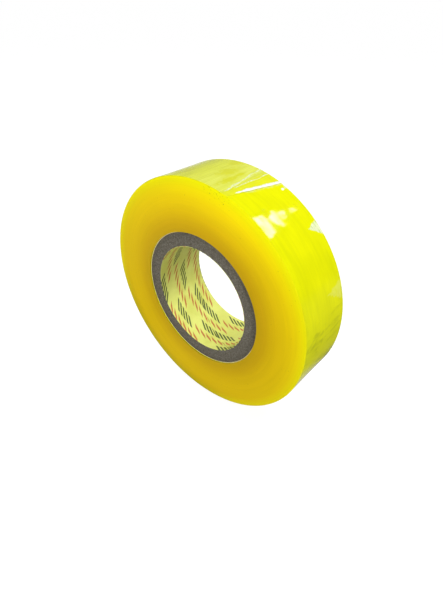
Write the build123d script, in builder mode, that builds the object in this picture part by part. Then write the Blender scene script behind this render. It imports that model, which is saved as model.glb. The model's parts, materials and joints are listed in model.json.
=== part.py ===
from build123d import *
import math
import os

# Roll of translucent packing tape on a spiral-wound board core, in millimetres.
# The roll's axis is Y, its front side face looks along -Y, and +Z is up.
# Polar angles are in degrees in the XZ plane, from +X towards +Z.

# Driving dimensions: the roll
roll_radius = 82.5
tape_width = 41.0

# Driving dimensions: the core, set back a little from both side faces
bore_radius = 38.0
core_radius = 48.0
core_recess = 1.0
liner_thickness = 0.25  # printed paper on the inside
wrap_thickness = 0.35  # cream paper on the outside
ply_count = 10  # grey board plies between the two papers
glue_line = 0.02  # between two wound layers

# Driving dimensions: every layer of the core is a strip wound along one helix
strip_pitch = 116.0  # axial advance of a strip in one turn
seam_slit = 0.15  # between the two edges of a strip where they butt
liner_seam_angle = -104.0  # where the liner's seam crosses the mid plane
seam_stagger = -24.0  # turn of the seam from one layer to the next

# Driving dimensions: the film
film_thickness = 0.2  # one lap, with its adhesive
lap_clearance = 0.03  # between a lap and the lap under it
cut_clearance = 0.05  # between two stretches of film along the tape
tail_root_angle = 119.0  # the tail is stuck down up to here
tail_segment_angle = 8.0
tail_segment_count = 6
end_front_angle = 75.0  # the free end is cut askew
end_rear_angle = 69.0

# Sizes that follow from the driving dimensions
core_length = tape_width - 2 * core_recess
paper_thickness = liner_thickness + wrap_thickness
board_thickness = core_radius - bore_radius - paper_thickness - (ply_count + 1) * glue_line
ply_thickness = board_thickness / ply_count
lap_thickness = film_thickness - lap_clearance
cut_angle = math.degrees(cut_clearance / roll_radius)
tail_end_angle = tail_root_angle - tail_segment_count * tail_segment_angle
full_turn = 360.0

# Modelling allowances
helix_start_angle = -90.0  # polar angle where a helix about -Y begins
seam_overrun = 4.0  # the seam's cutter runs this far past both ends of the core
cutter_overlap = 1.0  # and stands this much proud of the strip's faces
spiral_points = 25


def polar(radius, angle):
    """Sketch coordinates of the point at a radius and a polar angle."""
    return (radius * math.cos(math.radians(angle)), radius * math.sin(math.radians(angle)))


def polar_point(radius, angle, y=0.0):
    """Point in space at a radius, a polar angle and a place along the roll's axis."""
    x, z = polar(radius, angle)
    return Vector(x, y, z)


def lap_radius(angle):
    """Outer radius of the last full lap, which falls by one film from root to end."""
    lap_angle = tail_end_angle + full_turn - tail_root_angle
    return roll_radius - film_thickness * (angle - tail_root_angle) / lap_angle


def spiral(depth, start, end):
    """Add the curve that lies a depth under the last full lap's outer surface."""
    step = (end - start) / (spiral_points - 1)
    angles = [start + step * index for index in range(spiral_points)]
    return Spline(*[polar(lap_radius(angle) - depth, angle) for angle in angles])


def wound_strip(inner_radius, thickness, seam_angle):
    """One layer of the core: a strip wound into a tube with a helical butt seam."""
    # The seam falls along Y as its polar angle grows, and crosses the mid plane at seam_angle
    seam_reach = core_length / 2 + seam_overrun
    start_y = strip_pitch * ((seam_angle - helix_start_angle) % full_turn) / full_turn

    with BuildPart() as strip:
        with BuildSketch(Plane.XZ.offset(-core_length / 2)):
            Circle(inner_radius + thickness)
            Circle(inner_radius, mode=Mode.SUBTRACT)
        extrude(amount=core_length)
        with BuildLine() as seam:
            Helix(
                pitch=strip_pitch,
                height=start_y + seam_reach,
                radius=inner_radius + thickness / 2,
                center=(0, start_y, 0),
                direction=(0, -1, 0),
            )
        outward = polar_point(1, helix_start_angle)
        with BuildSketch(Plane(origin=seam.line @ 0, x_dir=outward, z_dir=seam.line % 0)):
            Rectangle(thickness + 2 * cutter_overlap, seam_slit)
        sweep(path=seam.line, is_frenet=True, mode=Mode.SUBTRACT)
    return strip


def film_profile(start, end):
    """Profile of the outermost film between two polar angles, start below end."""
    with BuildSketch(Plane.XZ.offset(-tape_width / 2)) as profile:
        with BuildLine():
            outer = CenterArc((0, 0), roll_radius, start, end - start)
            inner = CenterArc((0, 0), roll_radius - lap_thickness, start, end - start)
            Line(outer @ 0, inner @ 0)
            Line(outer @ 1, inner @ 1)
        make_face()
    return profile.sketch


def save(piece, name):
    """Label a finished piece and write it as the STEP file of the same name."""
    piece.part.label = name
    export_step(piece.part, f"parts/{name}.step")


os.makedirs("parts", exist_ok=True)

# Core, from the bore outwards: printed liner, board plies, cream wrap
core_liner = wound_strip(bore_radius, liner_thickness, liner_seam_angle)
save(core_liner, "core_liner")

layer_radius = bore_radius + liner_thickness + glue_line
layer_seam_angle = liner_seam_angle + seam_stagger
for number in range(1, ply_count + 1):
    core_ply = wound_strip(layer_radius, ply_thickness, layer_seam_angle)
    save(core_ply, f"core_ply_{number}")
    layer_radius += ply_thickness + glue_line
    layer_seam_angle += seam_stagger

core_wrap_ply = wound_strip(layer_radius, wrap_thickness, layer_seam_angle)
save(core_wrap_ply, "core_wrap_ply")

# Film winding: every lap but the last, with a step where the last lap begins to climb
with BuildPart() as film_winding:
    with BuildSketch(Plane.XZ.offset(-tape_width / 2)):
        with BuildLine():
            climb = spiral(film_thickness, tail_root_angle, tail_end_angle + full_turn)
            bed_angle = tail_root_angle - tail_end_angle
            bed = CenterArc((0, 0), roll_radius - film_thickness, tail_end_angle, bed_angle)
            Line(climb @ 1, bed @ 0)
        make_face()
        Circle(core_radius + glue_line, mode=Mode.SUBTRACT)
    extrude(amount=tape_width)
save(film_winding, "film_winding")

# Last full lap, stuck down from the tail's root round to the step under the tail's end
with BuildPart() as outer_lap:
    with BuildSketch(Plane.XZ.offset(-tape_width / 2)):
        with BuildLine():
            lap_start = tail_root_angle + cut_angle / 2
            lap_end = tail_end_angle + full_turn - cut_angle
            lap_outside = spiral(0, lap_start, lap_end)
            lap_inside = spiral(lap_thickness, lap_start, lap_end)
            Line(lap_outside @ 0, lap_inside @ 0)
            Line(lap_outside @ 1, lap_inside @ 1)
        make_face()
    extrude(amount=tape_width)
save(outer_lap, "outer_lap")

# Tail: the end of the tape that peels, as a chain of short stretches from its root
for number in range(1, tail_segment_count):
    root_side = tail_root_angle - (number - 1) * tail_segment_angle
    with BuildPart() as tail_segment:
        end_side = root_side - tail_segment_angle
        extrude(film_profile(end_side + cut_angle / 2, root_side - cut_angle / 2), tape_width)
    save(tail_segment, f"tail_segment_{number}")

# Last stretch of the tail, cut askew at the free end
with BuildPart() as tail_free_end:
    root_side = tail_end_angle + tail_segment_angle
    uncut_end_angle = end_rear_angle - tail_segment_angle
    extrude(film_profile(uncut_end_angle, root_side - cut_angle / 2), tape_width)
    end_front = polar_point(roll_radius, end_front_angle, -tape_width / 2)
    end_rear = polar_point(roll_radius, end_rear_angle, tape_width / 2)
    end_line = end_rear - end_front
    outward = (end_front + end_rear).normalized()
    end_cut = Plane(origin=end_front, x_dir=end_line, z_dir=outward.cross(end_line))
    split(bisect_by=end_cut, keep=Keep.TOP)
save(tail_free_end, f"tail_segment_{tail_segment_count}")
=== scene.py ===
import json
import math
from collections import namedtuple

import bpy
import numpy as np
from mathutils import Matrix, Vector, noise


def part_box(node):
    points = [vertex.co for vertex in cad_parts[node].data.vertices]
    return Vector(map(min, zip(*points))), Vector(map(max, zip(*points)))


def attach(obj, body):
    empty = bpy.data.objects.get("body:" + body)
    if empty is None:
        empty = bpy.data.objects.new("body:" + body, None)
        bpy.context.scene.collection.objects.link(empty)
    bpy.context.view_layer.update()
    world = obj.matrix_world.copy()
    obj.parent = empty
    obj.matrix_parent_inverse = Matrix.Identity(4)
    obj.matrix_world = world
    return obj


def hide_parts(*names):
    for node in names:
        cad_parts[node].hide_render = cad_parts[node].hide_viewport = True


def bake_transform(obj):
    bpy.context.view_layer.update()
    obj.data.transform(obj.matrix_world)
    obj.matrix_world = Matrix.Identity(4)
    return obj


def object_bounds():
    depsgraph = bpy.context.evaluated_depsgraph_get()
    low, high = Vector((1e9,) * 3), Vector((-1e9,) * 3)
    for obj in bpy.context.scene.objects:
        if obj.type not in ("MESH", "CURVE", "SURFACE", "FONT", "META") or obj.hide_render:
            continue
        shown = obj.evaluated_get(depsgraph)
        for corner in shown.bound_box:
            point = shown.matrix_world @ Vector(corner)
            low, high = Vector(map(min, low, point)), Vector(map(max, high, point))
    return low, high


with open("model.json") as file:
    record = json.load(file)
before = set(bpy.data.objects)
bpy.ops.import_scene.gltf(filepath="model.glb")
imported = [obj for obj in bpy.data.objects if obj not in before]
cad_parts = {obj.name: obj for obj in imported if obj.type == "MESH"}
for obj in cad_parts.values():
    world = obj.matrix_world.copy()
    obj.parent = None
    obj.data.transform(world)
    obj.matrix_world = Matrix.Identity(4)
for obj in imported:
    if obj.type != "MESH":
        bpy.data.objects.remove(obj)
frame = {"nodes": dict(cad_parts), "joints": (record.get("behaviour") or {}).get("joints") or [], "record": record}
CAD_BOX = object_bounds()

# Looks for a roll of translucent packing tape that stands on its tread.
# The roll's axis is Y, its front side face looks along -Y, and +Z is up. Lengths are in metres.
# Polar angles are in degrees in the XZ plane, from +X towards +Z. A place is a distance along Y.
# "Across" is a place as a share of the half width, from -1 on the front side face to 1 on the
# rear one. A share of the width runs from 0 to 1 the same way. In the materials, "turn" is the
# polar angle in radians.

MM = 0.001
TURN = 360.0

# ---------------------------------------------------------------- sizes from the frame
MOUNTS = {mount["name"]: mount for mount in frame["record"]["mounts"]}
HALF_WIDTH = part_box("film_winding")[1].y
CORE_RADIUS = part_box("core_wrap_ply")[1].x
BORE_RADIUS = MOUNTS["core_bore"]["dims"]["r_mm"] * MM
HINGES = [Vector(joint["pos_m"]) for joint in frame["joints"]]
HINGE_ANGLES = [math.degrees(math.atan2(hinge.z, hinge.x)) for hinge in HINGES]
SEGMENT_ANGLE = HINGE_ANGLES[0] - HINGE_ANGLES[1]
STEP_ANGLE = HINGE_ANGLES[0] + SEGMENT_ANGLE / 2  # the tail's film starts here
ROLL_RADIUS = HINGES[0].length
FILM = ROLL_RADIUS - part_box("film_winding")[1].z
REAR_END_ANGLE = math.degrees(math.acos(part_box("tail_segment_6")[1].x / ROLL_RADIUS))

# ---------------------------------------------------------------- driving values: the film's shape
FREE_END_ANGLES = (73.2, 68.2)  # the tape's free end is cut askew: at its front and its rear edge
FILM_GAP = 0.03 * MM  # between the tail and the lap under it
GLUE_LINE = 0.02 * MM  # between the winding and the core
RIM_RADIUS = 0.7 * MM  # rounding where a side face meets the tread
TREAD_DISH = 0.12 * MM  # the tread is lower in the middle by this
FACE_RELIEF = 0.02 * MM  # laps stand this much proud of one another in the side faces
FACE_BANDS = 40  # bands of that relief from the rim to the core
AIR_HEIGHT = 0.12 * MM  # the last lap stands this much off the one under it over trapped air
CURL_HEIGHT = 0.38 * MM  # of the curled free end
CURL_CREST = 0.85 * MM  # from the cut to the crest of the curl
CURL_WIDTH = 0.95 * MM
FAN_HEIGHT = 0.22 * MM  # of the creases that fan out of the free end
RIPPLE_HEIGHT = 0.04 * MM  # where the tail sticks loosely

# ---------------------------------------------------------------- driving values: meshes
RIM_STEPS = 6
RIM_SUPPORT = 0.08 * MM  # the tread's first row lies this close to the rim, whose shading it keeps narrow
TREAD_ROWS = 82
FACE_ROWS = 90
FINE_RANGE = (-36, 6)  # columns are close together here, in degrees from the free end's rear corner
FINE_COLUMN = 0.3  # degrees
COARSE_COLUMN = 1.2
STEP_COLUMN = 0.02
TAIL_COLUMN = 0.25
TAIL_RIM_STEPS = 2  # the tail's film bends this far over the rim
TIP_ANGLE = 3.8  # the tail's last piece, which doesn't bend, begins this far above the free end
TIP_COLUMNS = 44
SHARP_ANGLE = 32.0  # degrees; edges that bend more than this are shaded sharp

# ---------------------------------------------------------------- driving values: finishes and studio
TREAD_ROUGHNESS, FACE_ROUGHNESS = 0.03, 0.35
TREAD_IOR, FACE_IOR = 1.8, 1.1  # film's is 1.5; laps mirror together, and cut edges hardly do
RIB_HEIGHT = 0.001 * MM  # ribs along the tape
DIMPLE_HEIGHT = 0.10 * MM  # dimples in the tail's film
LINER_SEAM_ANGLE = -104.0  # where the liner's butt seam crosses the mid plane
STRIP_PITCH = 116.0 * MM  # the seam's advance along the roll in one turn
BACKDROP_GLOW = 0.24  # what the film mirrors of the pale backdrop on the left
FLOOR_HALF = 60.0  # half the side of the floor, whose edge then lies near the horizon
SOFTBOX_DISTANCE = 1.2  # from the tread to the softbox that it mirrors
SOFTBOX_ANGLES = (49.0, 62.0)  # the tread mirrors the softbox between these polar angles
SOFTBOX_ACROSS = (-1.2, 0.5)  # and between these places across
SOFTBOX_RADIANCE = 5.5

# Air trapped under the last lap along its rear edge: angle at the edge, angle at the tip,
# half angle, reach across, strength
AIR_PATCHES = (
    (44.8, 46.4, 3.5, 0.48, 0.85),
    (66.4, 65.6, 1.9, 0.13, 0.5),
    (18.0, 19.5, 5.0, 0.85, 0.25),
    (-11.0, -14.0, 4.0, 0.55, 0.3),
    (172.0, 170.5, 2.6, 0.34, 0.8),
    (216.0, 213.0, 4.6, 0.60, 0.35),
    (303.0, 304.5, 2.8, 0.40, 0.7),
)

# Air bubbles off the edge: angle, place across, half angle, half width across
AIR_BUBBLES = (
    (65.6, 0.80, 0.65, 0.055),
    (169.0, 0.56, 0.5, 0.045),
)

# Creases that fan out of the free end: angle at the front edge, slant over the width, sway,
# half thickness, strength, shares of the width where a crease starts and ends, past 1 if it doesn't
FAN_CREASES = (
    (75.7, -0.6, 1.0, 0.45 * MM, 0.85, 0.18, 1.15),
    (75.6, 4.1, -1.0, 0.60 * MM, 1.0, 0.02, 1.15),
    (76.6, 2.4, -2.0, 0.45 * MM, 0.55, 0.10, 1.15),
    (75.3, 3.9, 1.0, 0.40 * MM, 0.7, 0.22, 0.85),
)

# Where the tail's film sticks well: angle, place across, half angle, half width across
STUCK_PATCHES = (
    (86.2, 0.10, 3.2, 0.46),
    (81.0, -0.32, 1.8, 0.50),
    (81.3, 0.20, 1.2, 0.24),
    (90.6, 0.82, 3.0, 0.30),
    (101.0, -0.45, 1.8, 0.30),
)

# Outline of the softbox's glow on the tread: share of the width, lower and upper polar angle.
# It has no height where the lower angle is the larger one.
GLOW_OUTLINE = (
    (0.00, 50.6, 60.8), (0.19, 51.8, 59.8), (0.207, 57.4, 57.6), (0.23, 57.4, 57.6),
    (0.26, 55.6, 58.2), (0.34, 53.4, 58.8), (0.38, 53.2, 59.6), (0.43, 54.4, 58.2),
    (0.53, 56.2, 57.6), (0.55, 57.0, 56.0), (0.645, 57.0, 55.0), (0.66, 55.8, 57.2),
    (0.70, 55.4, 56.4), (0.715, 57.0, 55.0),
)

# Round lights that the film doesn't mirror: azimuth, elevation, distance, diameter, radiance
SOFT_LIGHTS = {
    "key": (19, 46, 1.2, 0.4, 24),
    "fill": (168, 15, 1.4, 1.0, 4.7),
    "side": (100, -6, 1.4, 0.8, 2.6),
    "left": (-80, 25, 1.4, 0.8, 3.2),
}


def colour(red, green, blue):
    """Linear colour from sRGB values of 0 to 255."""
    shares = [value / 255 for value in (red, green, blue)]
    linear = [s / 12.92 if s < 0.04045 else ((s + 0.055) / 1.055) ** 2.4 for s in shares]
    return (*linear, 1.0)


def grey(level):
    """Neutral linear colour."""
    return (level, level, level, 1.0)


# Colours of the film: well stuck, loosely stuck, seen edge-on, lifted. Among them painted light and shade: a paler
# lemon as painted floor light low on the tread, olive and a brown rim colour as painted shade, and the whitest
# lifted colour partly as painted highlight
LEMON, LEMON_STREAK, LEMON_FLOOR_LIGHT = colour(247, 248, 5), colour(231, 234, 5), colour(254, 255, 22)
OLIVE_SHADE = colour(190, 196, 0)
CLEAR_TAIL, YELLOW_VEIL = colour(220, 222, 10), colour(255, 255, 40)
RIM_SHADE, SPECK = colour(132, 112, 22), colour(120, 100, 20)
LIFTED, LIFTED_GRAIN, LIFTED_WHITEST_AND_HIGHLIGHT = colour(242, 250, 204), colour(212, 230, 130), colour(255, 255, 248)

# Colours of the core
LINER, LINER_CLOUD, LINER_GRAIN = colour(234, 239, 134), colour(222, 226, 116), colour(150, 150, 60)
RED_INK, DARK_INK, BORE_SHADE = colour(196, 84, 60), colour(38, 62, 48), colour(60, 58, 20)
BOARD_FIBRES = colour(80, 76, 67), colour(114, 109, 98)
BOARD_MOTTLE = colour(58, 54, 46), colour(150, 146, 134)
BOARD_FLECKS = colour(52, 48, 42), colour(160, 154, 138)
BOARD_CLOUD, BOARD_OUTER_DARK = colour(74, 68, 56), colour(46, 43, 34)
WRAP_GRAIN = colour(206, 188, 140), colour(232, 220, 178)
WRAP_CLOUD = colour(186, 164, 112)

# Side face from the core to the rim, as shares of the roll's radius: painted shade away from the light, over a
# golden tone by the core that is partly the film's own
FACE_PAINTED_SHADE = (
    (0.60, colour(190, 157, 18)),
    (0.66, colour(198, 162, 15)),
    (0.73, colour(207, 173, 14)),
    (0.80, colour(212, 179, 13)),
    (0.92, colour(211, 179, 13)),
    (1.00, colour(214, 200, 12)),
)

# The same towards the light: painted glow, as if the lit tread shone through the film
FACE_PAINTED_GLOW = (
    (0.60, colour(194, 156, 17)),
    (0.66, colour(206, 167, 15)),
    (0.73, colour(221, 185, 12)),
    (0.80, colour(232, 200, 12)),
    (0.86, colour(241, 212, 9)),
    (0.93, colour(244, 226, 6)),
    (0.97, colour(243, 234, 5)),
    (1.00, colour(243, 240, 5)),
)

# Loosely stuck film, from where it lies close to where it stands off
HAZE = (
    (0.00, colour(208, 214, 62)),
    (0.50, colour(231, 237, 88)),
    (0.85, colour(239, 245, 120)),
    (1.00, colour(247, 251, 170)),
)


# ---------------------------------------------------------------- arithmetic on arrays
def smooth(value, low, high):
    """Smooth step from 0 at low to 1 at high. Low may be the larger one."""
    share = np.clip((value - low) / (high - low), 0, 1)
    return share * share * (3 - 2 * share)


def ridge(distance, width):
    """Rounded ridge of height 1 over a signed distance from its crest."""
    return np.exp(-((distance / width) ** 2))


def noise_at(x, y, seed):
    """Smooth noise of about -1 to 1 for two arrays of the same shape."""
    flat = [noise.noise(Vector((a, b, seed))) for a, b in zip(x.ravel(), y.ravel())]
    return np.array(flat).reshape(x.shape)


def noise_along(x, seed):
    """Smooth noise of about -1 to 1 for one array."""
    return noise_at(x, 0 * x, seed)


def angle_from(angle, centre):
    """Signed angle from a centre, between -180 and 180."""
    return (angle - centre + TURN / 2) % TURN - TURN / 2


# ---------------------------------------------------------------- shape of the tread
def tread_section():
    """Place, depth under the roll's radius, and outward and axial parts of the normal of each row.

    The rows run across the tread from rim to rim, both rims included.
    """
    rows = []
    shoulder = HALF_WIDTH - RIM_RADIUS
    for step in range(RIM_STEPS + 1):
        angle = math.pi / 2 * (1 - step / RIM_STEPS)
        out, along = math.cos(angle), -math.sin(angle)
        rows.append((-shoulder + RIM_RADIUS * along, RIM_RADIUS * (1 - out), out, along))
    for step in range(TREAD_ROWS + 1):
        place = shoulder * (2 * step / TREAD_ROWS - 1)
        place = min(max(place, RIM_SUPPORT - shoulder), shoulder - RIM_SUPPORT)
        rows.append((place, TREAD_DISH * (1 - (place / shoulder) ** 2), 1.0, 0.0))
    front = rows[:RIM_STEPS + 1]
    rear = [(-place, depth, out, -along) for place, depth, out, along in reversed(front)]
    return np.array(rows + rear).T


def lap_depth(angle):
    """How far the winding's surface lies under the roll's radius.

    From the tail's root it sinks by one film on its way round to the free end, and it stays there
    under the tail.
    """
    past_step = (angle - STEP_ANGLE) % TURN
    covered = TURN - (STEP_ANGLE - REAR_END_ANGLE)
    return FILM * np.minimum(past_step / covered, 1)


def free_end_angle(place):
    """Polar angle of the tape's skew free end at a place along the roll."""
    share = (place / HALF_WIDTH + 1) / 2
    front, rear = FREE_END_ANGLES
    return front + (rear - front) * share


def curl_height(from_end, share):
    """Curled edge of the free end, as a share of its height: thickest in the middle and uneven."""
    waver = (0.35 * noise_along(share * 9, 3.1) + 0.22 * noise_along(share * 34, 4.6)) * MM
    bead = 0.85 + 0.2 * noise_along(share * 14, 8.7)
    thick = CURL_WIDTH * (0.35 + 0.75 * smooth(share, 0.1, 0.45) - 0.35 * smooth(share, 0.75, 1.0))
    thick = thick * (1 + 0.5 * noise_along(share * 12, 6.4))
    return ridge(from_end - CURL_CREST - waver, thick) * smooth(share, 0.10, 0.26) * bead


def fan_height(angle, share):
    """Creases that fan out of the free end, as a share of their height."""
    wander = (0.7 * noise_along(share * 6, 5.3) + 0.3 * noise_along(share * 21, 9.1)) * MM
    fan = np.zeros_like(share)
    for front_angle, slant, sway, thick, strength, starts, ends in FAN_CREASES:
        away = np.radians(angle - (front_angle + slant * share)) * ROLL_RADIUS
        length = smooth(share, starts, starts + 0.10) * smooth(share, ends, ends - 0.15)
        fan = np.maximum(fan, strength * ridge(away + sway * wander, thick) * length)
    return fan * (0.8 + 0.5 * noise_at(share * 16, angle * 0.9, 7.7))


def ripple_height(angle, share):
    """Ripples where the tail sticks loosely, as a share of their height."""
    ripple = noise_at(angle * 1.9, share * 1.6, 11.0) + 0.6 * noise_at(angle * 4.3, share * 3.0, 17.0)
    inside = smooth(angle, 77.0, 81.0) * smooth(STEP_ANGLE - angle, 2.0, 8.0)
    return (np.clip(ripple, -0.4, 1) + 0.4) * inside


def tail_lift(angle, place):
    """Height and whiteness of the tail's film over its bed. The whiteness of the curl and the creases is a painted
    highlight.
    """
    share = (place / HALF_WIDTH + 1) / 2
    from_end = np.radians(angle - free_end_angle(place)) * ROLL_RADIUS
    curl = curl_height(from_end, share)
    fan = fan_height(angle, share)
    height = CURL_HEIGHT * curl + FAN_HEIGHT * fan + RIPPLE_HEIGHT * ripple_height(angle, share)
    # painted highlight: the crest of the curl and the creases are whitened as if they caught the light, where the
    # film is lifted too
    white = np.clip(1.3 * smooth(curl, 0.1, 0.5) + 0.85 * fan, 0, 1)
    return height, white


def free_end_trace(angle, place, ragged):
    """Faint pale trace on the last lap, just past the tape's free end."""
    past_end = np.radians(free_end_angle(place) - angle) * ROLL_RADIUS
    trace = smooth(past_end, 3.8 * MM, 0) * smooth(past_end, -1.5 * MM, -0.5 * MM)
    return 0.3 * trace * (1 + ragged) * smooth(place / HALF_WIDTH, -0.6, -0.2)


def winding_lift(angle, place):
    """Height and whiteness of the last lap: trapped air, and a trace by the free end that has no height."""
    across = place / HALF_WIDTH
    ragged = 0.5 * noise_at(angle * 0.5, across * 9, 2.0) + 0.5 * noise_at(angle * 1.3, across * 22, 6.0)
    air = np.zeros_like(angle)
    for edge_angle, tip_angle, half_angle, reach, strength in AIR_PATCHES:
        depth = (1 - across) / reach
        centre = edge_angle + (tip_angle - edge_angle) * np.clip(depth, 0, 1)
        spread = half_angle * np.clip(1 - depth, 0, 1) ** 1.1 + 0.3
        inside = spread - np.abs(angle_from(angle, centre)) + ragged
        patch = smooth(inside, -0.1, 0.5) * smooth(1.05 - depth, 0.0, 0.05)
        air = np.maximum(air, patch * strength)
    for centre, middle, half_angle, half_width in AIR_BUBBLES:
        away = np.hypot(angle_from(angle, centre) / half_angle, (across - middle) / half_width)
        air = np.maximum(air, smooth(1.2 - away + 0.4 * ragged, 0.0, 0.4))
    air = air * smooth(HALF_WIDTH - np.abs(place), 0.1 * RIM_RADIUS, RIM_RADIUS)
    return air * AIR_HEIGHT, np.maximum(air, free_end_trace(angle, place, ragged))


# ---------------------------------------------------------------- meshes
def make_mesh(name, points, faces, white):
    """Object from points and faces, which keeps its rest places and its whiteness, painted highlights included,
    for the materials.
    """
    mesh = bpy.data.meshes.new(name)
    mesh.from_pydata(points.tolist(), [], faces)
    mesh.update()
    mesh.shade_smooth()
    mesh.set_sharp_from_angle(angle=math.radians(SHARP_ANGLE))
    rest = mesh.attributes.new("rest", "FLOAT_VECTOR", "POINT")
    rest.data.foreach_set("vector", points.astype(np.float32).ravel())
    lifted = mesh.attributes.new("white", "FLOAT", "POINT")
    lifted.data.foreach_set("value", white.astype(np.float32).ravel())
    made = bpy.data.objects.new(name, mesh)
    bpy.context.scene.collection.objects.link(made)
    return made


def quads(corners):
    """List of faces from four arrays of point numbers, one array per corner."""
    return np.stack(corners, -1).reshape(-1, 4).tolist()


def polar_points(radius, angle, place):
    """Array of points from arrays of radius, polar angle and place along the roll."""
    turn = np.radians(angle)
    return np.stack([radius * np.cos(turn), place + 0 * turn, radius * np.sin(turn)], -1)


def winding_angles():
    """Polar angles of the winding's columns: fine by the air patches in view, and two at the step."""
    below, above = FINE_RANGE
    fine = np.arange(REAR_END_ANGLE + below, REAR_END_ANGLE + above, FINE_COLUMN)
    coarse = np.arange(fine[-1] + COARSE_COLUMN, fine[0] + TURN - COARSE_COLUMN / 2, COARSE_COLUMN)
    coarse = coarse[np.abs(coarse - STEP_ANGLE) > FINE_COLUMN]
    step = np.array([STEP_ANGLE - STEP_COLUMN, STEP_ANGLE])
    return np.sort(np.concatenate([fine, coarse, step]))


def make_film_body():
    """The wound film as one ring: tread with its rims, both side faces and the wall round the core."""
    angles = winding_angles()[:, None]
    place, depth, _, _ = tread_section()
    height, white = winding_lift(angles + 0 * place, place + 0 * angles)
    over_tread = smooth(HALF_WIDTH - np.abs(place), 0, RIM_RADIUS)
    tread = ROLL_RADIUS - depth - lap_depth(angles) + height * over_tread

    share = np.linspace(0, 1, FACE_ROWS + 2)[1:]
    rim_end = tread[:, -1:]
    face_radius = rim_end + (CORE_RADIUS + GLUE_LINE - rim_end) * share
    bands = np.array([noise.noise(Vector((0, 0, FACE_BANDS * s))) for s in share])
    relief = FACE_RELIEF * (0.5 + bands) * smooth(share, 0, 0.04) * smooth(1 - share, 0, 0.02)
    rear = polar_points(face_radius, angles, HALF_WIDTH - relief)
    front = polar_points(face_radius, angles, relief - HALF_WIDTH)[:, ::-1]

    points = np.concatenate([polar_points(tread, angles, place), rear, front], 1)
    columns, rows = points.shape[:2]
    index = np.arange(columns * rows).reshape(columns, rows)
    ahead = np.roll(index, -1, 0)
    faces = quads([index, ahead, np.roll(ahead, -1, 1), np.roll(index, -1, 1)])
    whole_white = np.zeros((columns, rows))
    whole_white[:, :white.shape[1]] = white
    return make_mesh("film_body", points.reshape(-1, 3), faces, whole_white)


def make_tail_film(name, start, end, columns):
    """Closed strip of the tail's film between two angles; end may be a function of the place."""
    kept = slice(RIM_STEPS - TAIL_RIM_STEPS, TAIL_RIM_STEPS - RIM_STEPS)
    place, depth, out, along = tread_section()[:, kept]
    share = np.linspace(0, 1, columns + 1)[:, None]
    last = end(place) if callable(end) else end + 0 * place
    angles = start + (last - start) * share
    places = place + 0 * angles
    height, white = tail_lift(angles, places)
    height = height * smooth(STEP_ANGLE - angles, 0, 1)  # the root lies flat, in line with the last lap

    layers = []
    for proud in (FILM, FILM_GAP):
        radius = ROLL_RADIUS - FILM - depth + height + proud * out
        layers.append(polar_points(radius, angles, places + proud * along))
    top, bottom = layers
    upper = np.arange(places.size).reshape(places.shape)
    lower = upper + places.size

    faces = []
    for grid in (upper[::-1], lower):
        faces += quads([grid[:-1, :-1], grid[1:, :-1], grid[1:, 1:], grid[:-1, 1:]])
    for above, below in (
        (upper[0], lower[0]),
        (upper[-1, ::-1], lower[-1, ::-1]),
        (upper[::-1, 0], lower[::-1, 0]),
        (upper[:, -1], lower[:, -1]),
    ):
        faces += quads([above[:-1], below[:-1], below[1:], above[1:]])
    points = np.concatenate([top.reshape(-1, 3), bottom.reshape(-1, 3)])
    return make_mesh(name, points, faces, np.concatenate([white.ravel(), white.ravel()]))


def on_tread(angle):
    """Point in the mid plane on the roll's outside."""
    turn = math.radians(angle)
    return Vector((ROLL_RADIUS * math.cos(turn), 0, ROLL_RADIUS * math.sin(turn)))


def make_tail():
    """The tail as one strip: a piece across each hinge, and an end that rides along.

    The pieces meet in the middle of each CAD stretch, where the film doesn't bend.
    """
    bodies = ["roll"] + [joint["child"] for joint in frame["joints"]]
    last_joint = len(HINGES) - 1
    tip_start = FREE_END_ANGLES[0] + TIP_ANGLE
    pieces = []
    for index, hinge_angle in enumerate(HINGE_ANGLES):
        start = hinge_angle + SEGMENT_ANGLE / 2
        end = hinge_angle - SEGMENT_ANGLE / 2
        if index == last_joint:
            end = tip_start
        piece = make_tail_film(f"tail_film_{index + 1}", start, end, round((start - end) / TAIL_COLUMN))
        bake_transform(piece)
        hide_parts(f"tail_segment_{index + 1}")
        pieces.append(piece)
    tip = make_tail_film("tail_film_end", tip_start, free_end_angle, TIP_COLUMNS)
    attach(tip, bodies[-1])
    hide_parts(f"tail_segment_{last_joint + 1}")
    pieces.append(tip)
    return pieces


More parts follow.
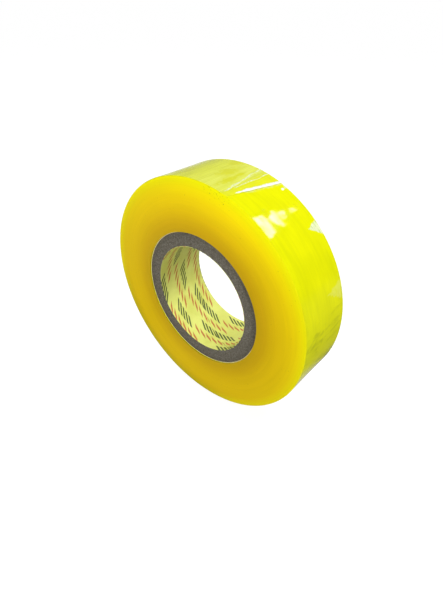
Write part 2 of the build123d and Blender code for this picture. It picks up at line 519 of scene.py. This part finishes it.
# ---------------------------------------------------------------- node materials
class Shader:
    """The nodes of a material, a light or the world. Most methods add nodes and return a socket."""

    def __init__(self, owner):
        self.owner = owner
        owner.use_nodes = True
        self.tree = owner.node_tree
        self.tree.nodes.clear()

    def node(self, kind, inputs=(), output=0, **settings):
        """Add a node, set its properties, then fill its input sockets by number or name."""
        made = self.tree.nodes.new(kind)
        for key, value in settings.items():
            setattr(made, key, value)
        for key, value in dict(inputs).items():
            self.fill(made.inputs[key], value)
        return None if output is None else made.outputs[output]

    def fill(self, socket, value):
        """Link a socket to another one, or give it a plain value."""
        if isinstance(value, bpy.types.NodeSocket):
            self.tree.links.new(value, socket)
        else:
            socket.default_value = value

    def math(self, operation, *values):
        """Result of a named operation on up to three numbers."""
        return self.node("ShaderNodeMath", enumerate(values), operation=operation)

    def plus(self, first, second):
        """Sum of two numbers."""
        return self.math("ADD", first, second)

    def minus(self, first, second):
        """Difference of two numbers."""
        return self.math("SUBTRACT", first, second)

    def times(self, product, *factors):
        """Product of two or more numbers."""
        for factor in factors:
            product = self.math("MULTIPLY", product, factor)
        return product

    def scaled(self, value, factor, offset):
        """A number times a factor, plus an offset."""
        return self.math("MULTIPLY_ADD", value, factor, offset)

    def length(self, first, second):
        """Length of a vector of two numbers."""
        return self.math("SQRT", self.scaled(first, first, self.times(second, second)))

    def step(self, value, low, high):
        """Smooth step from 0 at low to 1 at high. Low may be the larger one."""
        inputs = {"Value": value, "From Min": low, "From Max": high}
        return self.node("ShaderNodeMapRange", inputs, interpolation_type="SMOOTHSTEP")

    def turn_step(self, turn, low, high):
        """Smooth step over a polar angle in radians, between limits in degrees."""
        return self.step(turn, math.radians(low), math.radians(high))

    def towards(self, turn, angle):
        """Cosine between a polar angle in radians and a direction in degrees."""
        return self.math("COSINE", self.minus(turn, math.radians(angle)))

    def blend(self, share, first, second):
        """Mix two numbers."""
        return self.node("ShaderNodeMix", {0: share, 2: first, 3: second}, data_type="FLOAT")

    def mix(self, share, first, second, blend="MIX"):
        """Mix two colours."""
        inputs = {0: share, 6: first, 7: second}
        return self.node("ShaderNodeMix", inputs, output=2, data_type="RGBA", blend_type=blend)

    def ramp(self, share, stops):
        """Colour ramp over (place, linear colour) stops."""
        made = self.tree.nodes.new("ShaderNodeValToRGB")
        elements = made.color_ramp.elements
        while len(elements) < len(stops):
            elements.new(0.5)
        for element, (place, shade) in zip(elements, stops):
            element.position = place
            element.color = shade
        self.fill(made.inputs[0], share)
        return made.outputs[0]

    def vector(self, x, y, z):
        """Vector of three numbers."""
        return self.node("ShaderNodeCombineXYZ", {0: x, 1: y, 2: z})

    def stretched(self, *axes):
        """Vector for a noise. Each of three axes is a plain number, or a value and its scale."""
        return self.vector(*[self.times(*axis) if isinstance(axis, tuple) else axis for axis in axes])

    def split(self, vector):
        """The three numbers of a vector."""
        made = self.tree.nodes.new("ShaderNodeSeparateXYZ")
        self.fill(made.inputs[0], vector)
        return made.outputs[0], made.outputs[1], made.outputs[2]

    def noise(self, vector, scale=1.0, detail=2.0, rough=0.5, distortion=0.0):
        """Smooth noise of 0 to 1, mostly near a half."""
        inputs = {"Vector": vector, "Scale": scale, "Detail": detail}
        inputs |= {"Roughness": rough, "Distortion": distortion}
        return self.node("ShaderNodeTexNoise", inputs)

    def bump(self, height, distance, strength, under=None):
        """Normal bent by a height of 0 to 1 over a distance, on top of another bump if there is one."""
        inputs = {"Height": height, "Distance": distance, "Strength": strength}
        if under is not None:
            inputs["Normal"] = under
        return self.node("ShaderNodeBump", inputs)

    def rest_place(self):
        """x, y and z of the surface at rest, from the mesh."""
        return self.split(self.node("ShaderNodeAttribute", output=1, attribute_name="rest"))

    def object_place(self):
        """x, y and z of the surface in the object's own space."""
        return self.split(self.node("ShaderNodeTexCoord", output=3))

    def along(self, place, origin, axis):
        """How far a place lies from an origin along an axis."""
        away = self.node("ShaderNodeVectorMath", {0: place, 1: origin}, operation="SUBTRACT")
        return self.node("ShaderNodeVectorMath", {0: away, 1: axis}, output=1, operation="DOT_PRODUCT")

    def polar(self, x, z):
        """Radius and polar angle in radians."""
        return self.length(x, z), self.math("ARCTAN2", z, x)

    def ray_kinds(self):
        """Whether a ray comes straight from the camera, and whether it comes from a mirror."""
        path = self.tree.nodes.new("ShaderNodeLightPath")
        return path.outputs["Is Camera Ray"], path.outputs["Is Glossy Ray"]

    def finish(self, **inputs):
        """Close the material with a Principled BSDF, whose inputs have spaces where the names have _."""
        shader = self.tree.nodes.new("ShaderNodeBsdfPrincipled")
        for key, value in inputs.items():
            self.fill(shader.inputs[key.replace("_", " ")], value)
        out = self.tree.nodes.new("ShaderNodeOutputMaterial")
        self.tree.links.new(shader.outputs[0], out.inputs[0])
        return self.owner


# ---------------------------------------------------------------- film
def face_tone(s, radius, share, turn):
    """Brightness of the side face: fine lines of the laps, soft clouds, and painted shade that makes it dimmer to
    the right.
    """
    lines = s.noise(s.stretched((turn, 0.6), 0.0, (radius, 1 / MM)), scale=1.1, detail=3.0, rough=0.8)
    clouds = s.noise(s.stretched((turn, 1.3), 0.0, (share, 14)), detail=3.0, rough=0.6)
    tone = s.plus(s.plus(s.times(lines, 0.14), s.times(clouds, 0.14)), 0.86)
    # painted shade: dimmer to the right, less so by the rim
    off_rim = s.blend(s.step(share, 0.84, 0.96), 1.0, 0.3)
    right = s.times(s.step(s.towards(turn, 0), 0.3, 0.95), off_rim)
    return s.scaled(right, -0.09, tone)


def face_specks(s, radius, share, turn):
    """Dark specks in the side face: a few anywhere, and a cluster by the rim near the free end."""
    cluster = s.times(s.step(s.towards(turn, 78), 0.985, 0.999), s.step(share, 0.86, 0.94))
    specks = s.noise(s.stretched((turn, 60), (radius, 1 / MM), 0.0), scale=0.9)
    return s.step(s.scaled(cluster, 0.085, specks), 0.71, 0.77)


def side_face_colour(s, radius, turn):
    """Film seen edge-on: golden by the core, yellower to the rim and brightest to the upper right. The change from
    golden to yellow is partly the film's own tone and partly painted glow; the brightness to the upper right is
    painted light, and the dark band on the lower left rim is painted shade.
    """
    share = s.math("DIVIDE", radius, ROLL_RADIUS)
    # painted light: brighter towards the upper right, as if the lit tread shone through the film
    lit = s.math("POWER", s.scaled(s.towards(turn, 66), 0.5, 0.5), 2.3)
    base = s.mix(lit, s.ramp(share, FACE_PAINTED_SHADE), s.ramp(share, FACE_PAINTED_GLOW))
    # painted shade: a dark band along the rim on the lower left
    low_left_rim_shade = s.times(s.step(s.towards(turn, -122), 0.5, 0.95), s.step(share, 0.88, 0.99))
    base = s.mix(s.times(low_left_rim_shade, 0.45), base, RIM_SHADE)
    tone = face_tone(s, radius, share, turn)
    base = s.mix(1.0, base, s.vector(tone, tone, tone), "MULTIPLY")
    specks = face_specks(s, radius, share, turn)
    return s.mix(s.times(specks, 0.6), base, SPECK)


def tread_colour(s, y, turn):
    """Well stuck film: lemon yellow with streaks along the tape, mottled olive blots low on the right that are
    painted shade where the tread faces down, and painted floor light on its lowest part.
    """
    streaks = s.noise(s.stretched((turn, 3.2), (y, 0.5 / MM), 0.0), detail=4.0, rough=0.6, distortion=0.5)
    clouds = s.noise(s.stretched((turn, 3.0), (y, 60), 3.0), detail=3.0)
    share = s.plus(s.times(streaks, 0.4), s.times(clouds, 0.6))
    film = s.mix(s.step(share, 0.3, 0.7), LEMON_STREAK, LEMON)
    blots = s.noise(s.stretched((turn, 11), (y, 45), 7.0), detail=4.0, rough=0.65, distortion=0.6)
    # painted shade: the mottled olive blots only where the tread faces down
    facing_down_shade = s.times(s.turn_step(turn, 22, 2), s.turn_step(turn, -60, -20))
    olive = s.times(s.step(blots, 0.52, 0.34), facing_down_shade, 0.6)
    film = s.mix(olive, film, OLIVE_SHADE)
    # painted light: the lowest part of the tread paler, as if lit from the floor
    floor_light = s.times(s.turn_step(turn, 0, -9), s.turn_step(turn, -60, -30))
    return s.mix(floor_light, film, LEMON_FLOOR_LIGHT)


def haze_colour(s, degrees, across):
    """Loosely stuck film: greenish cream with streaks across the tape, yellower towards the root."""
    place = s.stretched((degrees, 1.9), (across, 0.7), 0.0)
    streaks = s.noise(place, detail=4.0, rough=0.7, distortion=0.3)
    contrast = s.scaled(s.step(degrees, 84.0, 100.0), 0.5, 0.5)
    streaks = s.scaled(s.minus(streaks, 0.5), contrast, 0.5)
    haze = s.ramp(s.step(streaks, 0.3, 0.72), HAZE)
    yellow = s.times(s.step(degrees, 80.0, 98.0), 0.8)
    return s.mix(yellow, haze, YELLOW_VEIL, "MULTIPLY")


def stuck_share(s, degrees, across):
    """How well the tail's film sticks: by its free end and in a few blotted patches."""
    place = s.stretched((degrees, 0.5), (across, 5.0), 5.0)
    blots = s.noise(place, detail=3.0, rough=0.6, distortion=0.4)
    stuck = s.times(s.step(degrees, 77.2, 75.2), 0.8)
    for angle, middle, half_angle, half_width in STUCK_PATCHES:
        round_roll = s.scaled(degrees, 1 / half_angle, -angle / half_angle)
        over_width = s.scaled(across, 1 / half_width, -middle / half_width)
        patch = s.step(s.scaled(blots, 2.0, s.length(round_roll, over_width)), 2.4, 1.3)
        stuck = s.math("MAXIMUM", stuck, s.times(patch, 0.9))
    return stuck


def wound_colour(s, radius, turn, y):
    """The winding and its last lap: tread and side faces, which meet in the rims."""
    edge = s.step(s.math("ABSOLUTE", y), HALF_WIDTH - 1.1 * RIM_RADIUS, HALF_WIDTH - 0.15 * RIM_RADIUS)
    return s.mix(edge, tread_colour(s, y, turn), side_face_colour(s, radius, turn))


def tail_colour(s, turn, y):
    """The tail: hazy where it sticks loosely, clear at its root and where it sticks well."""
    degrees = s.math("DEGREES", turn)
    across = s.math("DIVIDE", y, HALF_WIDTH)
    clear = s.mix(s.step(degrees, 72.0, 79.0), tread_colour(s, y, turn), CLEAR_TAIL)
    off_root = s.step(degrees, STEP_ANGLE - 1, STEP_ANGLE - 9)
    loose = s.times(off_root, s.minus(1.0, stuck_share(s, degrees, across)))
    return s.mix(loose, clear, haze_colour(s, degrees, across))


def whitened_and_highlighted(s, base, grain_place):
    """The film's colour with white where the mesh says that the film is lifted: milky over trapped air, and a
    painted highlight on the curled free end and the creases.
    """
    white = s.node("ShaderNodeAttribute", output=2, attribute_name="white")
    grain = s.noise(grain_place, detail=4.0, rough=0.6)
    veil = s.step(s.scaled(white, 1.6, grain), 0.7, 1.0)
    amount = s.times(veil, s.step(white, 0.0, 0.8))
    lifted = s.mix(s.step(grain, 0.62, 0.50), LIFTED_GRAIN, LIFTED)
    # whitest: painted highlight on the curl's crest and strong creases, and milky air in bubbles
    lifted = s.mix(s.step(white, 0.88, 1.0), lifted, LIFTED_WHITEST_AND_HIGHLIGHT)
    return s.mix(amount, base, lifted)


def film_material(name, tail):
    """Translucent yellow film, glossy on the tread and duller on the side faces."""
    s = Shader(bpy.data.materials.new(name))
    x, y, z = s.rest_place()
    radius, turn = s.polar(x, z)
    ribs = s.noise(s.stretched((turn, 4.0), (y, 1 / MM), 0.0), scale=0.5, detail=1.0)
    relief = s.bump(ribs, RIB_HEIGHT, 0.6)
    if tail:
        base = whitened_and_highlighted(s, tail_colour(s, turn, y), s.stretched((turn, 75), (y, 0.9 / MM), 0.0))
        dimples = s.noise(s.stretched((turn, 170), (y, 120), 0.0), detail=3.0, rough=0.6)
        relief = s.bump(dimples, DIMPLE_HEIGHT, 0.6, relief)
    else:
        base = whitened_and_highlighted(s, wound_colour(s, radius, turn, y), s.stretched((turn, 14), (y, 1.4 / MM), 0.0))
    side = s.step(s.math("ABSOLUTE", y), HALF_WIDTH - 0.8 * RIM_RADIUS, HALF_WIDTH - 0.1 * RIM_RADIUS)
    rough = s.blend(side, TREAD_ROUGHNESS, FACE_ROUGHNESS)
    return s.finish(Base_Color=base, Roughness=rough, IOR=s.blend(side, TREAD_IOR, FACE_IOR), Normal=relief)


# ---------------------------------------------------------------- core
def repeated_mark(s, place, start, length, count):
    """Mask of a group of marks along a row, and the place along one of its marks from its middle."""
    into = s.minus(place, start)
    inside = s.math("COMPARE", into, length / 2, length / 2)
    cell = length / count
    return inside, s.minus(s.math("FLOORED_MODULO", into, cell), cell / 2)


def print_marks(s, y, turn):
    """Dark bars and red lozenges in rows round the bore.

    Every second row is shifted by half a period, and all rows are cut at the liner's seam.
    """
    row_pitch, mark_height, period, soften = 6.6 * MM, 4.9 * MM, 75 * MM, 0.12 * MM
    seam = s.scaled(y, -2 * math.pi / STRIP_PITCH, math.radians(LINER_SEAM_ANGLE))
    past_seam = s.math("FLOORED_MODULO", s.minus(turn, seam), 2 * math.pi)
    along = s.times(past_seam, BORE_RADIUS)
    lane = s.math("DIVIDE", s.plus(y, HALF_WIDTH + 0.9 * MM), row_pitch)
    row = s.math("FLOOR", lane)
    up = s.times(s.minus(s.minus(lane, row), 0.5), row_pitch)
    shift = s.math("FLOORED_MODULO", row, 2.0)
    place = s.math("FLOORED_MODULO", s.scaled(shift, period / 2, along), period)

    inside, local = repeated_mark(s, place, start=0.0, length=19 * MM, count=5)
    leaning = s.math("ABSOLUTE", s.scaled(up, -0.35, local))
    bar = s.step(leaning, 1.2 * MM, 1.0 * MM)
    tall = s.step(s.math("ABSOLUTE", up), mark_height / 2 + soften, mark_height / 2 - soften)
    dark = s.times(bar, tall, inside)

    inside, local = repeated_mark(s, place, start=22.5 * MM, length=34 * MM, count=6)
    off_middle = s.math("DIVIDE", s.math("ABSOLUTE", local), 2.1 * MM)
    off_lane = s.math("DIVIDE", s.math("ABSOLUTE", up), 0.54 * mark_height)
    red = s.times(s.step(s.plus(off_middle, off_lane), 1.0, 0.86), inside)

    wear = s.noise(s.stretched((along, 1 / MM), (y, 1 / MM), 0.0), scale=1.2)
    mask = s.step(wear, 0.18, 0.42)
    return s.times(dark, mask), s.times(red, mask)


def liner_material():
    """Pale yellow-green glossy paper with printed marks on the side that faces the bore, and painted shade on the
    bore's upper left.
    """
    s = Shader(bpy.data.materials.new("printed_liner_paper"))
    x, y, z = s.object_place()
    _, turn = s.polar(x, z)
    dark, red = print_marks(s, y, turn)
    grain = s.noise(s.vector(x, y, z), scale=900.0, detail=4.0, rough=0.7)
    clouds = s.noise(s.vector(x, y, z), scale=90.0, detail=3.0)
    base = s.mix(s.step(clouds, 0.3, 0.7), LINER_CLOUD, LINER)
    base = s.mix(s.times(grain, 0.12), base, LINER_GRAIN)
    base = s.mix(s.times(red, 0.85), base, RED_INK)
    base = s.mix(s.times(dark, 0.9), base, DARK_INK)
    # painted shade: the liner darker on the upper left of the bore
    upper_left_shade = s.step(s.towards(turn, 158), 0.45, 1.05)
    base = s.mix(s.times(upper_left_shade, 0.32), base, BORE_SHADE)
    relief = s.bump(grain, 0.03 * MM, 0.5)
    return s.finish(Base_Color=base, Roughness=0.42, Specular_IOR_Level=0.3, Normal=relief)


def board_material():
    """Grey board of recycled fibre: short fibres that run round the core, flecks, and darker towards the outer
    edge, most to the right.
    """
    s = Shader(bpy.data.materials.new("grey_board"))
    x, y, z = s.object_place()
    radius, turn = s.polar(x, z)
    fibre_place = s.stretched((turn, 30), (y, 0.7 / MM), (radius, 2.2 / MM))
    fibres = s.noise(fibre_place, detail=4.0, rough=0.75, distortion=0.6)
    flecks = s.noise(s.vector(x, y, z), scale=1500.0, rough=0.6)
    mottle = s.noise(s.vector(x, y, z), scale=620.0, detail=3.0, rough=0.7)
    clouds = s.noise(s.vector(x, y, z), scale=160.0, detail=3.0, rough=0.6)
    base = s.mix(s.step(fibres, 0.28, 0.72), *BOARD_FIBRES)
    base = s.mix(s.times(s.step(mottle, 0.50, 0.68), 0.24), base, BOARD_MOTTLE[1])
    base = s.mix(s.times(s.step(mottle, 0.50, 0.34), 0.32), base, BOARD_MOTTLE[0])
    base = s.mix(s.times(s.step(flecks, 0.60, 0.72), 0.6), base, BOARD_FLECKS[1])
    base = s.mix(s.times(s.step(flecks, 0.40, 0.30), 0.6), base, BOARD_FLECKS[0])
    base = s.mix(s.times(s.step(clouds, 0.55, 0.75), 0.3), base, BOARD_CLOUD)
    # darker towards the outer edge, most to the right
    outer_edge = s.step(radius, CORE_RADIUS - 6 * MM, CORE_RADIUS - 1.5 * MM)
    right = s.step(s.towards(turn, 12), 0.75, 1.0)
    mask = s.times(outer_edge, s.scaled(right, 0.26, 0.16))
    base = s.mix(mask, base, BOARD_OUTER_DARK)
    relief = s.bump(s.plus(fibres, flecks), 0.12 * MM, 0.8)
    return s.finish(Base_Color=base, Roughness=0.9, Specular_IOR_Level=0.15, Normal=relief)


def wrap_material():
    """Cream paper round the board, with a fine grain."""
    s = Shader(bpy.data.materials.new("cream_wrap_paper"))
    x, y, z = s.object_place()
    grain = s.noise(s.vector(x, y, z), scale=1100.0, detail=4.0, rough=0.7)
    clouds = s.noise(s.vector(x, y, z), scale=120.0)
    base = s.mix(s.step(grain, 0.3, 0.7), *WRAP_GRAIN)
    base = s.mix(s.times(s.step(clouds, 0.5, 0.8), 0.4), base, WRAP_CLOUD)
    relief = s.bump(grain, 0.05 * MM, 0.6)
    return s.finish(Base_Color=base, Roughness=0.8, Specular_IOR_Level=0.2, Normal=relief)


# ---------------------------------------------------------------- floor and world
def floor_material():
    """Floor that is white to the camera. To mirrors it is dark but for the left and close by the roll."""
    s = Shader(bpy.data.materials.new("pale_floor"))
    x, y, z = s.object_place()
    to_camera, mirrored = s.ray_kinds()
    grain = s.noise(s.vector(x, y, z), scale=40.0, detail=3.0)
    bounced = s.mix(mirrored, (0.55, 0.55, 0.54, 1), grey(0.05))
    base = s.mix(to_camera, bounced, s.mix(grain, grey(0.18), grey(0.21)))
    from_roll, _ = s.polar(x, y)
    by_roll = s.times(s.step(from_roll, 0.11, 0.07), 0.42)
    far_left = s.scaled(s.step(x, -1.2, -0.5), 0.48, BACKDROP_GLOW)
    pools = s.scaled(s.step(x, -0.12, -0.25), far_left, by_roll)
    glow = s.blend(to_camera, s.times(mirrored, pools), 0.905)
    return s.finish(Base_Color=base, Roughness=0.9, Specular_IOR_Level=0.0,
                    Emission_Color=grey(1), Emission_Strength=glow)


def make_floor():
    """A very large plain floor under the roll."""
    half, low = FLOOR_HALF, CAD_BOX[0].z - FILM
    corners = np.array([(-half, -half, low), (half, -half, low), (half, half, low), (-half, half, low)])
    floor = make_mesh("floor", corners, [(0, 1, 2, 3)], np.zeros(4))
    floor.data.materials.append(floor_material())


def make_world():
    """White to the camera, dimmer as light, and dark to mirrors but for a backdrop on the left."""
    ambient, seen, mirrored = 0.48, 1.0, 0.02
    world = bpy.data.worlds.new("studio")
    s = Shader(world)
    to_camera, to_mirror = s.ray_kinds()
    x, _, _ = s.split(s.node("ShaderNodeTexCoord", output=0))
    backdrop = s.scaled(s.step(x, -0.2, -0.6), BACKDROP_GLOW, mirrored)
    strength = s.blend(to_mirror, ambient, backdrop)
    strength = s.blend(to_camera, strength, seen)
    shade = s.node("ShaderNodeBackground", {"Color": grey(1), "Strength": strength})
    s.node("ShaderNodeOutputWorld", {0: shade}, output=None)
    bpy.context.scene.world = world


# ---------------------------------------------------------------- lights and camera
def direction(azimuth, elevation):
    """Unit vector towards a compass azimuth, from +Y towards +X, and an elevation."""
    a, e = math.radians(azimuth), math.radians(elevation)
    return Vector((math.sin(a) * math.cos(e), math.cos(a) * math.cos(e), math.sin(e)))


def area_light(name, place, shape, size, radiance, lights, glints):
    """Soft light at a place, facing the roll. Radiance is what a mirror would show of it.

    It lights rough surfaces only if "lights" is set, and mirrors show it only if "glints" is.
    """
    data = bpy.data.lights.new(name, "AREA")
    data.shape = shape
    data.size, data.size_y = size
    area = size[0] * size[1] * (1 if shape == "RECTANGLE" else math.pi / 4)
    data.energy = radiance * math.pi * area
    light = bpy.data.objects.new(name, data)
    bpy.context.scene.collection.objects.link(light)
    light.location = place
    light.rotation_euler = place.to_track_quat("Z", "Y").to_euler()
    light.visible_diffuse = lights
    light.visible_glossy = glints
    light.visible_camera = False
    return light


# How the tread mirrors the softbox to the camera: the softbox's centre, the polar angle and the
# place across that show it, the vectors that turn a step on the softbox into a change of each,
# and how much a line of one place across bows with the angle
TreadMap = namedtuple("TreadMap", "centre angle across to_angle to_across bow")


def seen_in_tread(angle, across):
    """Place at the softbox's distance that the tread mirrors to the camera at an angle and across."""
    slope = 2 * TREAD_DISH * across / HALF_WIDTH
    place = on_tread(angle) + Vector((0, across * HALF_WIDTH, 0))
    outward = (on_tread(angle).normalized() - Vector((0, slope, 0))).normalized()
    ray = (place - bpy.context.scene.camera.location).normalized()
    return place + ray.reflect(outward) * SOFTBOX_DISTANCE


def torn_glow(light, mapping):
    """Shape the softbox's glow so that it looks torn on the tread: a block, a frayed tongue, a scrap."""
    s = Shader(light.data)
    spot = s.node("ShaderNodeNewGeometry")
    from_middle = s.along(spot, mapping.centre, mapping.to_angle)
    angle = s.plus(from_middle, mapping.angle)
    bowed = s.times(s.math("POWER", s.math("ABSOLUTE", from_middle), 2.0), mapping.bow)
    across = s.minus(s.plus(s.along(spot, mapping.centre, mapping.to_across), mapping.across), bowed)
    share = s.scaled(across, 0.5, 0.5)

    unit = 100.0  # the ramp holds the outline's angles as shares of this, since its colours end at 1
    stops = [(place, (low / unit, high / unit, 0, 1)) for place, low, high in GLOW_OUTLINE]
    low, high, _ = s.split(s.ramp(share, stops))
    frays = s.noise(s.stretched((angle, 0.1), (share, 15.0), 0.0), rough=0.6)
    nicks = s.noise(s.stretched((angle, 0.1), (share, 15.0), 4.0), rough=0.6)
    threads = s.noise(s.stretched((angle, 0.15), (share, 30.0), 8.0), detail=1.0)
    fray_depth = s.blend(s.step(share, 0.17, 0.24), 2.5, 6.0)
    above = s.scaled(low, -unit, angle)
    above = s.scaled(s.minus(frays, 0.5), fray_depth, above)
    above = s.scaled(s.minus(threads, 0.5), 9.0, above)
    below = s.minus(s.times(high, unit), angle)
    below = s.scaled(s.minus(nicks, 0.5), 3.0, below)
    inside = s.step(s.math("MINIMUM", above, below), -0.1, 0.1)
    brightness = s.blend(s.step(threads, 0.38, 0.58), 0.35, 1.3)
    glow = s.node("ShaderNodeEmission", {"Strength": s.times(inside, brightness)})
    s.node("ShaderNodeOutputLight", {0: glow}, output=None)


def make_softbox():
    """Softbox that the camera sees mirrored in a patch of the tread, and that lights nothing else."""
    mid_angle, mid_across = sum(SOFTBOX_ANGLES) / 2, sum(SOFTBOX_ACROSS) / 2
    low, high = (seen_in_tread(angle, mid_across) for angle in SOFTBOX_ANGLES)
    front, rear = (seen_in_tread(mid_angle, across) for across in SOFTBOX_ACROSS)
    centre = seen_in_tread(mid_angle, mid_across)
    angle_range = SOFTBOX_ANGLES[1] - SOFTBOX_ANGLES[0]
    across_range = SOFTBOX_ACROSS[1] - SOFTBOX_ACROSS[0]
    by_angle = (high - low) / angle_range
    by_across = (rear - front) / across_range

    # The softbox's own axes. The first is the way in which its mirror image changes polar angle
    facing = (centre - on_tread(mid_angle)).normalized()
    first = (by_angle - facing * by_angle.dot(facing)).normalized()
    second = facing.cross(first)
    corners = [seen_in_tread(angle, side) - centre for angle in SOFTBOX_ANGLES for side in SOFTBOX_ACROSS]
    size = [2 * max(abs(corner.dot(axis)) for corner in corners) for axis in (first, second)]
    light = area_light("softbox", centre, "RECTANGLE", size, SOFTBOX_RADIANCE, lights=False, glints=True)
    light.rotation_euler = Matrix((first, second, facing)).transposed().to_euler()

    to_angle, to_across = by_across.cross(facing), facing.cross(by_angle)
    to_angle /= to_angle.dot(by_angle)
    to_across /= to_across.dot(by_across)
    bow = ((low + high) / 2 - centre).dot(to_across) / (angle_range / 2) ** 2
    torn_glow(light, TreadMap(centre, mid_angle, mid_across, to_angle, to_across, bow))


def make_lights():
    """Soft lights from round about, and the softbox that the tread mirrors."""
    for name, (azimuth, elevation, distance, size, radiance) in SOFT_LIGHTS.items():
        place = direction(azimuth, elevation) * distance
        area_light(name, place, "DISK", (size, size), radiance, lights=True, glints=False)
    make_softbox()


def make_camera():
    """Camera at the photograph's viewing angle, from the upper right of the front side face."""
    azimuth, elevation, distance = 41.52, 35.34, 285.8 * MM
    aim_right, aim_up = 1.68 * MM, -4.88 * MM
    back = direction(180 - azimuth, elevation)
    turn = back.to_track_quat("Z", "Y")
    data = bpy.data.cameras.new("camera")
    data.lens = 25.2
    data.sensor_width = 36.0
    data.clip_start = 0.01
    camera = bpy.data.objects.new("camera", data)
    camera.rotation_euler = turn.to_euler()
    camera.location = back * distance + turn @ Vector((aim_right, aim_up, 0))
    bpy.context.scene.collection.objects.link(camera)
    bpy.context.scene.camera = camera


# ---------------------------------------------------------------- the roll
def paint(piece, material):
    """Give a piece one material."""
    piece.data.materials.clear()
    piece.data.materials.append(material)


def paint_core():
    """Materials of the core's own nodes."""
    nodes = frame["nodes"]
    board = board_material()
    paint(nodes["core_liner"], liner_material())
    paint(nodes["core_wrap_ply"], wrap_material())
    for name, node in nodes.items():
        if name.startswith("core_ply_"):
            paint(node, board)


def make_film():
    """The wound film and the tail that peels off it."""
    body = make_film_body()
    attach(body, "roll")
    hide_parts("film_winding", "outer_lap")
    paint(body, film_material("wound_film", tail=False))
    tail_film = film_material("tail_film", tail=True)
    for piece in make_tail():
        paint(piece, tail_film)


paint_core()
make_film()
make_floor()
make_world()
make_camera()
make_lights()
bpy.context.scene.view_settings.view_transform = "Standard"
